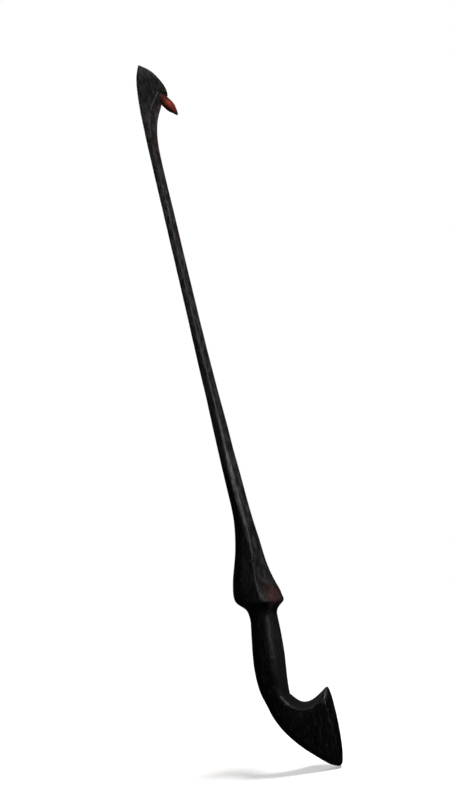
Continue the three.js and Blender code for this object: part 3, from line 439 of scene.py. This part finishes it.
def dense_rows(keys, spacing):
    keys = np.array(keys, float)
    t = keys[:, 0]
    ti = np.linspace(t[0], t[-1], int((t[-1] - t[0]) / spacing) + 1)
    return np.concatenate([ti[:, None], pchip(t, keys[:, 1:], ti)], 1)


socket = lathe("socket_cutter", [(-20.3, 3.12, 3.12, 3.12), (-6.32, 3.12, 3.12, 3.12), (-6.3, 4.78, 4.74, 4.74), (5.0, 4.78, 4.74, 4.74)], 64)
for o in (socket,):
    bm = bmesh.new()
    bm.from_mesh(o.data)
    bmesh.ops.recalc_face_normals(bm, faces=bm.faces)
    bm.to_mesh(o.data)
    bm.free()
cut = body.modifiers.new("socket", "BOOLEAN")
cut.operation, cut.solver, cut.object = "DIFFERENCE", "EXACT", socket
bpy.context.view_layer.update()
depsgraph = bpy.context.evaluated_depsgraph_get()
carved = bpy.data.meshes.new_from_object(body.evaluated_get(depsgraph))
body.modifiers.clear()
old = body.data
body.data = carved
bpy.data.meshes.remove(old)
bpy.data.objects.remove(socket)


def smooth_below(ob, degrees):
    bm = bmesh.new()
    bm.from_mesh(ob.data)
    bmesh.ops.remove_doubles(bm, verts=bm.verts, dist=2e-6)
    for f in bm.faces:
        f.smooth = True
    for e in bm.edges:
        if len(e.link_faces) == 2:
            e.smooth = e.calc_face_angle(0.0) < math.radians(degrees)
    bm.to_mesh(ob.data)
    bm.free()


smooth_below(body, 42)

spur_keys = [(-19.9, 2.55, 2.55, 2.55), (-19.3, 3.0, 3.0, 3.0), (-6.5, 3.0, 3.0, 3.0), (-6.2, 4.6, 4.6, 4.6), (-3, 4.68, 4.64, 4.66), (0, 4.72, 4.62, 4.68),
             (2.3, 4.9, 4.56, 4.74), (5, 5.1, 4.42, 4.76), (7.3, 5.15, 4.22, 4.7), (9.1, 5.0, 4.04, 4.55), (10.7, 4.68, 3.72, 4.25),
             (12.2, 4.25, 3.2, 3.8), (13.6, 3.72, 2.62, 3.25), (14.7, 3.32, 2.12, 2.8), (16.2, 2.72, 1.5, 2.2), (17.4, 2.18, 1.02, 1.7),
             (18.4, 1.66, 0.66, 1.25), (19.0, 1.3, 0.42, 0.98), (19.35, 0.98, 0.22, 0.72), (19.5, 0.7, 0.05, 0.5)]
spur = lathe("spur_wood", dense_rows(spur_keys, 0.3), 72, wobble=0.07)
bm = bmesh.new()
bm.from_mesh(spur.data)
bmesh.ops.recalc_face_normals(bm, faces=bm.faces)
bm.to_mesh(spur.data)
bm.free()
smooth_below(spur, 50)
tone = np.zeros((len(spur.data.vertices), 4), np.float32)
for k, v in enumerate(spur.data.vertices):
    d = np.array(v.co) * 1000 - SPUR_SEAT
    t, side = float(d @ SPUR_DIR), float(d @ SPUR_SIDE)
    # painted highlight: R brightens a patch on the spur's front and back faces about 5.6 mm from the seat, and the
    # middle stretch faintly
    tone[k, 0] = math.exp(-((t - 5.6) / 3.4) ** 2 - ((side - 1.0) / 2.1) ** 2) + 0.42 * np.interp(t, [3, 7, 14, 17], [0, 1, 1, 0])
    # painted shade: B darkens the spur's root where it meets the head, most on the shaft side
    tone[k, 2] = np.interp(t, [-1.0, 2.2], [0.75, 0.0]) * (0.5 + 0.5 * np.clip((1.5 - side) / 3.0, 0, 1))
    # G darkens the spur towards its tip
    tone[k, 1] = np.interp(t, [14.5, 18.5], [0, 1])
tone[:, 3] = 1
tone_layer = spur.data.color_attributes.new("paint", "FLOAT_COLOR", "POINT")
tone_layer.data.foreach_set("color", tone.reshape(-1))


# ---------------------------------------------------------------- materials
class Nodes:
    def __init__(self, name):
        self.mat = bpy.data.materials.new(name)
        self.mat.use_nodes = True
        self.t = self.mat.node_tree
        self.t.nodes.clear()
        self.out = self.t.nodes.new("ShaderNodeOutputMaterial")
        self.bsdf = self.t.nodes.new("ShaderNodeBsdfPrincipled")
        self.t.links.new(self.bsdf.outputs[0], self.out.inputs[0])

    def node(self, kind, **props):
        n = self.t.nodes.new(kind)
        for k, v in props.items():
            setattr(n, k, v)
        return n

    def link(self, a, b):
        self.t.links.new(a, b)

    def mapped(self, scale, rotation=(0, 0, 0), location=(0, 0, 0)):
        co = self.node("ShaderNodeTexCoord")
        turn = self.node("ShaderNodeMapping")
        turn.vector_type = "POINT"
        turn.inputs["Rotation"].default_value = rotation
        self.link(co.outputs["Object"], turn.inputs["Vector"])
        size = self.node("ShaderNodeMapping")
        size.inputs["Scale"].default_value = scale
        size.inputs["Location"].default_value = location
        self.link(turn.outputs[0], size.inputs["Vector"])
        return size.outputs[0]

    def noise(self, vector, detail=4.0, rough=0.55, scale=1.0, distortion=0.0):
        n = self.node("ShaderNodeTexNoise")
        n.inputs["Scale"].default_value = scale
        n.inputs["Detail"].default_value = detail
        n.inputs["Roughness"].default_value = rough
        n.inputs["Distortion"].default_value = distortion
        self.link(vector, n.inputs["Vector"])
        return n.outputs["Fac"]

    def ramp(self, value, stops, interpolation="LINEAR"):
        r = self.node("ShaderNodeValToRGB")
        r.color_ramp.interpolation = interpolation
        while len(r.color_ramp.elements) < len(stops):
            r.color_ramp.elements.new(0.5)
        for e, (p, c) in zip(r.color_ramp.elements, stops):
            e.position = p
            e.color = (c, c, c, 1) if not isinstance(c, tuple) else (*c, 1)
        self.link(value, r.inputs["Fac"])
        return r.outputs["Color"]

    def math(self, op, a, b=None, clamp=False):
        m = self.node("ShaderNodeMath", operation=op, use_clamp=clamp)
        for k, v in enumerate((a, b)):
            if v is None:
                continue
            if isinstance(v, (int, float)):
                m.inputs[k].default_value = v
            else:
                self.link(v, m.inputs[k])
        return m.outputs[0]

    def mix(self, fac, a, b, blend="MIX"):
        m = self.node("ShaderNodeMix", data_type="RGBA", blend_type=blend)
        for sock, v in ((m.inputs[0], fac), (m.inputs[6], a), (m.inputs[7], b)):
            if isinstance(v, (int, float)):
                sock.default_value = v
            elif isinstance(v, tuple):
                sock.default_value = (*v, 1)
            else:
                self.link(v, sock)
        return m.outputs[2]

    def bump(self, height, distance, strength=1.0, normal=None):
        b = self.node("ShaderNodeBump")
        b.inputs["Distance"].default_value = distance
        b.inputs["Strength"].default_value = strength
        self.link(height, b.inputs["Height"])
        if normal is not None:
            self.link(normal, b.inputs["Normal"])
        return b.outputs[0]


def dark_wood():
    m = Nodes("ebonised_hardwood")
    attr = m.node("ShaderNodeAttribute", attribute_name="paint")
    split = m.node("ShaderNodeSeparateColor")
    m.link(attr.outputs["Color"], split.inputs[0])
    wear_and_sheen, warm, stain_and_shade = split.outputs[0], split.outputs[1], split.outputs[2]
    fibre = m.noise(m.mapped((900, 900, 40)), detail=6, rough=0.65)
    mottle = m.noise(m.mapped((400, 400, 130), location=(2, 0, 6)), detail=2, rough=0.6)
    broad = m.noise(m.mapped((90, 90, 14), location=(3, 1, 0)), detail=3, rough=0.5, distortion=0.6)
    pore_n = m.noise(m.mapped((2300, 2300, 95), location=(7, 2, 1)), detail=3, rough=0.5)
    pores = m.ramp(pore_n, [(0.0, 1.0), (0.37, 1.0), (0.44, 0.0), (1.0, 0.0)])
    fibre_s = m.ramp(fibre, [(0.3, 0.0), (0.72, 1.0)])
    mottle_s = m.ramp(mottle, [(0.42, 0.0), (0.50, 0.22), (0.58, 1.0)])
    base = m.mix(fibre_s, (0.0092, 0.0083, 0.0088), (0.0210, 0.0192, 0.0200))
    base = m.mix(mottle_s, m.mix(0.8, base, (0.0025, 0.0022, 0.0026)), m.mix(0.85, base, (0.0510, 0.0520, 0.0600)))
    base = m.mix(m.ramp(broad, [(0.35, 0.0), (0.7, 1.0)]), base, m.mix(0.4, base, (0.0240, 0.0190, 0.0170)))
    fleck = m.ramp(m.noise(m.mapped((380, 380, 150), location=(9, 3, 2)), detail=3, rough=0.6), [(0.60, 0.0), (0.68, 0.6)])
    base = m.mix(fleck, base, (0.034, 0.0125, 0.0115))
    warm_n = m.math("MULTIPLY", warm, m.ramp(m.noise(m.mapped((420, 420, 30), location=(0, 5, 0)), detail=5, rough=0.6), [(0.32, 0.15), (0.66, 1.0)]), clamp=True)
    base = m.mix(warm_n, base, (0.062, 0.0175, 0.0120))
    # creases lighter and a little glossier: edge wear, and partly a painted highlight
    wear_and_sheen_n = m.math("MULTIPLY", wear_and_sheen, m.ramp(m.noise(m.mapped((520, 520, 150), location=(1, 4, 2)), detail=5, rough=0.65), [(0.42, 0.0), (0.7, 1.0)]), clamp=True)
    base = m.mix(m.math("MULTIPLY", wear_and_sheen_n, 0.55), base, (0.058, 0.052, 0.050))
    # the black stain, with painted shade on the left faces of the lower shaft and bell, in the scoop, and partly on the
    # tail
    base = m.mix(stain_and_shade, base, m.mix(fibre_s, (0.0003, 0.0004, 0.0004), (0.0010, 0.0012, 0.0011)))
    base = m.mix(m.math("MULTIPLY", pores, 0.75), base, (0.0018, 0.0016, 0.0016))
    m.link(base, m.bsdf.inputs["Base Color"])
    rough = m.math("ADD", 0.18, m.math("MULTIPLY", fibre, 0.10))
    rough = m.math("ADD", rough, m.math("MULTIPLY", mottle, 0.16))
    rough = m.math("ADD", rough, m.math("MULTIPLY", pores, 0.22))
    rough = m.math("ADD", rough, m.math("MULTIPLY", attr.outputs["Alpha"], 0.22))
    rough = m.math("SUBTRACT", rough, m.math("MULTIPLY", wear_and_sheen, 0.05), clamp=True)
    m.link(rough, m.bsdf.inputs["Roughness"])
    m.bsdf.inputs["Specular IOR Level"].default_value = 0.20
    n0 = m.bump(mottle, 0.00010, 0.8)
    n1 = m.bump(fibre, 0.00010, 0.8, n0)
    n2 = m.bump(m.math("SUBTRACT", 1.0, pores), 0.00010, 0.9, n1)
    m.link(n2, m.bsdf.inputs["Normal"])
    return m.mat


def red_wood():
    m = Nodes("red_hardwood")
    turn = (0, SPUR_TURN, 0)
    fibre = m.noise(m.mapped((1050, 1050, 60), rotation=turn), detail=6, rough=0.6)
    broad = m.noise(m.mapped((210, 210, 50), rotation=turn, location=(2, 2, 5)), detail=3, rough=0.5, distortion=0.8)
    pore_n = m.noise(m.mapped((2300, 2300, 110), rotation=turn, location=(4, 1, 1)), detail=2, rough=0.5)
    pores = m.ramp(pore_n, [(0.0, 1.0), (0.36, 1.0), (0.43, 0.0), (1.0, 0.0)])
    base = m.mix(m.ramp(fibre, [(0.38, 0.0), (0.62, 1.0)]), (0.0085, 0.0030, 0.0026), (0.060, 0.0105, 0.0070))
    base = m.mix(m.ramp(broad, [(0.35, 0.0), (0.68, 1.0)]), base, m.mix(0.55, base, (0.080, 0.0175, 0.0090)))
    attr = m.node("ShaderNodeAttribute", attribute_name="paint")
    split = m.node("ShaderNodeSeparateColor")
    m.link(attr.outputs["Color"], split.inputs[0])
    # painted highlight on the spur from R
    base = m.mix(m.math("MULTIPLY", split.outputs[0], 0.95), base, m.mix(1.0, base, (3.3, 2.2, 1.6), "MULTIPLY"))
    # darker towards the spur's tip from G
    base = m.mix(m.math("MULTIPLY", split.outputs[1], 0.6), base, (0.026, 0.0085, 0.0065))
    # painted shade at the spur's root from B
    base = m.mix(split.outputs[2], base, m.mix(1.0, base, (0.30, 0.35, 0.45), "MULTIPLY"))
    base = m.mix(m.math("MULTIPLY", pores, 0.55), base, (0.012, 0.0030, 0.0026))
    m.link(base, m.bsdf.inputs["Base Color"])
    rough = m.math("ADD", 0.56, m.math("MULTIPLY", fibre, 0.16))
    m.link(m.math("ADD", rough, m.math("MULTIPLY", pores, 0.15), clamp=True), m.bsdf.inputs["Roughness"])
    m.bsdf.inputs["Specular IOR Level"].default_value = 0.10
    n1 = m.bump(fibre, 0.00018, 0.8)
    m.link(m.bump(m.math("SUBTRACT", 1.0, pores), 0.00012, 0.8, n1), m.bsdf.inputs["Normal"])
    return m.mat


body.data.materials.clear()
body.data.materials.append(dark_wood())
spur.data.materials.clear()
spur.data.materials.append(red_wood())

for piece, node, slot in ((body, "carved_body", "dark_hardwood"), (spur, "spur_peg", "red_hardwood")):
    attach(piece, "root")
    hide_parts(node)

# ---------------------------------------------------------------- floor, light, camera
floor_z = cad_box[0][2] - 0.0015
n = 96
fp = [(0.0, 0.0, floor_z)]
ff = []
radii = [0.1, 0.25, 0.5, 0.8, 1.2, 1.7, 2.3, 3.0]
for r in radii:
    for k in range(n):
        a = 2 * math.pi * k / n
        fp.append((r * math.cos(a), r * math.sin(a), floor_z))
for k in range(n):
    ff.append((0, 1 + k, 1 + (k + 1) % n))
for i in range(len(radii) - 1):
    for k in range(n):
        a, b = 1 + i * n + k, 1 + i * n + (k + 1) % n
        ff.append((a, a + n, b + n, b))
floor = mesh_object("studio_floor", fp, ff)
fm = Nodes("pale_floor")
fm.bsdf.inputs["Base Color"].default_value = (0.86, 0.86, 0.86, 1)
fm.bsdf.inputs["Roughness"].default_value = 0.9
fm.bsdf.inputs["Specular IOR Level"].default_value = 0.1
fm.bsdf.inputs["Emission Color"].default_value = (1, 1, 1, 1)
fm.bsdf.inputs["Emission Strength"].default_value = 0.25
geo = fm.node("ShaderNodeNewGeometry")
flat = fm.node("ShaderNodeVectorMath", operation="MULTIPLY")
fm.link(geo.outputs["Position"], flat.inputs[0])
flat.inputs[1].default_value = (1, 1, 0)
length = fm.node("ShaderNodeVectorMath", operation="LENGTH")
fm.link(flat.outputs[0], length.inputs[0])
fade = fm.node("ShaderNodeMapRange")
fade.interpolation_type = "SMOOTHSTEP"
fm.link(length.outputs["Value"], fade.inputs["Value"])
fade.inputs["From Min"].default_value = 0.25
fade.inputs["From Max"].default_value = 1.5
fade.inputs["To Min"].default_value = 1.0
fade.inputs["To Max"].default_value = 0.0
fm.link(fade.outputs[0], fm.bsdf.inputs["Alpha"])
floor.data.materials.append(fm.mat)
floor.visible_diffuse = False
floor.visible_glossy = False

world = bpy.data.worlds.new("studio")
scene.world = world
world.use_nodes = True
wt = world.node_tree
wt.nodes.clear()
w_out = wt.nodes.new("ShaderNodeOutputWorld")
w_mix = wt.nodes.new("ShaderNodeMixShader")
seen = wt.nodes.new("ShaderNodeBackground")
seen.inputs["Color"].default_value = (1, 1, 1, 1)
seen.inputs["Strength"].default_value = 1.0
fill = wt.nodes.new("ShaderNodeBackground")
fill.inputs["Color"].default_value = (0.92, 0.96, 1.0, 1)
fill.inputs["Strength"].default_value = 0.025
path = wt.nodes.new("ShaderNodeLightPath")
wt.links.new(path.outputs["Is Camera Ray"], w_mix.inputs[0])
wt.links.new(fill.outputs[0], w_mix.inputs[1])
wt.links.new(seen.outputs[0], w_mix.inputs[2])
wt.links.new(w_mix.outputs[0], w_out.inputs[0])

aim = Vector((0.012, 0.0, 0.25))


def softbox(name, place, size, watts, colour=(1, 1, 1)):
    light = bpy.data.lights.new(name, "AREA")
    light.shape = "RECTANGLE"
    light.size, light.size_y = size
    light.energy = watts
    light.color = colour
    ob = bpy.data.objects.new(name, light)
    ob.location = place
    ob.rotation_mode = "QUATERNION"
    ob.rotation_quaternion = (aim - Vector(place)).to_track_quat("-Z", "Y")
    scene.collection.objects.link(ob)
    return ob


softbox("key", (0.95, -1.50, 2.45), (0.6, 0.6), 104, (1.0, 0.955, 0.90))
softbox("ridge_low", (0.93, -2.05, 0.03), (0.14, 0.22), 9.6, (0.92, 0.95, 1.0))
softbox("ridge_high", (0.93, -2.05, 0.38), (0.14, 0.35), 2.7, (0.92, 0.95, 1.0))
softbox("ridge_head", (0.90, -2.05, 0.73), (0.12, 0.26), 2.3, (0.92, 0.95, 1.0))
softbox("fill_left", (-1.6, -1.6, 1.5), (0.9, 0.9), 3.9, (0.93, 0.96, 1.0))
softbox("back", (-0.5, 1.9, 1.1), (1.2, 1.4), 20)
softbox("top", (0.3, 0.5, 2.3), (1.2, 1.2), 10)

camera_data = bpy.data.cameras.new("camera")
camera = bpy.data.objects.new("camera", camera_data)
scene.collection.objects.link(camera)
scene.camera = camera
roll = math.radians(13.47)
right = Vector((math.cos(roll), 0, -math.sin(roll)))
up = Vector((math.sin(roll), 0, math.cos(roll)))
back = right.cross(up)
distance = 2.1
centre_x, centre_z = 0.0170, 0.2402
camera_data.sensor_width = 36.0
camera_data.lens = 36.0 * distance / 0.760
camera_data.clip_start, camera_data.clip_end = 0.05, 60
camera.matrix_world = Matrix((
    (right.x, up.x, back.x, centre_x + back.x * distance),
    (right.y, up.y, back.y, back.y * distance),
    (right.z, up.z, back.z, centre_z + back.z * distance),
    (0, 0, 0, 1)))

scene.view_settings.view_transform = "Standard"
scene.view_settings.look = "None"
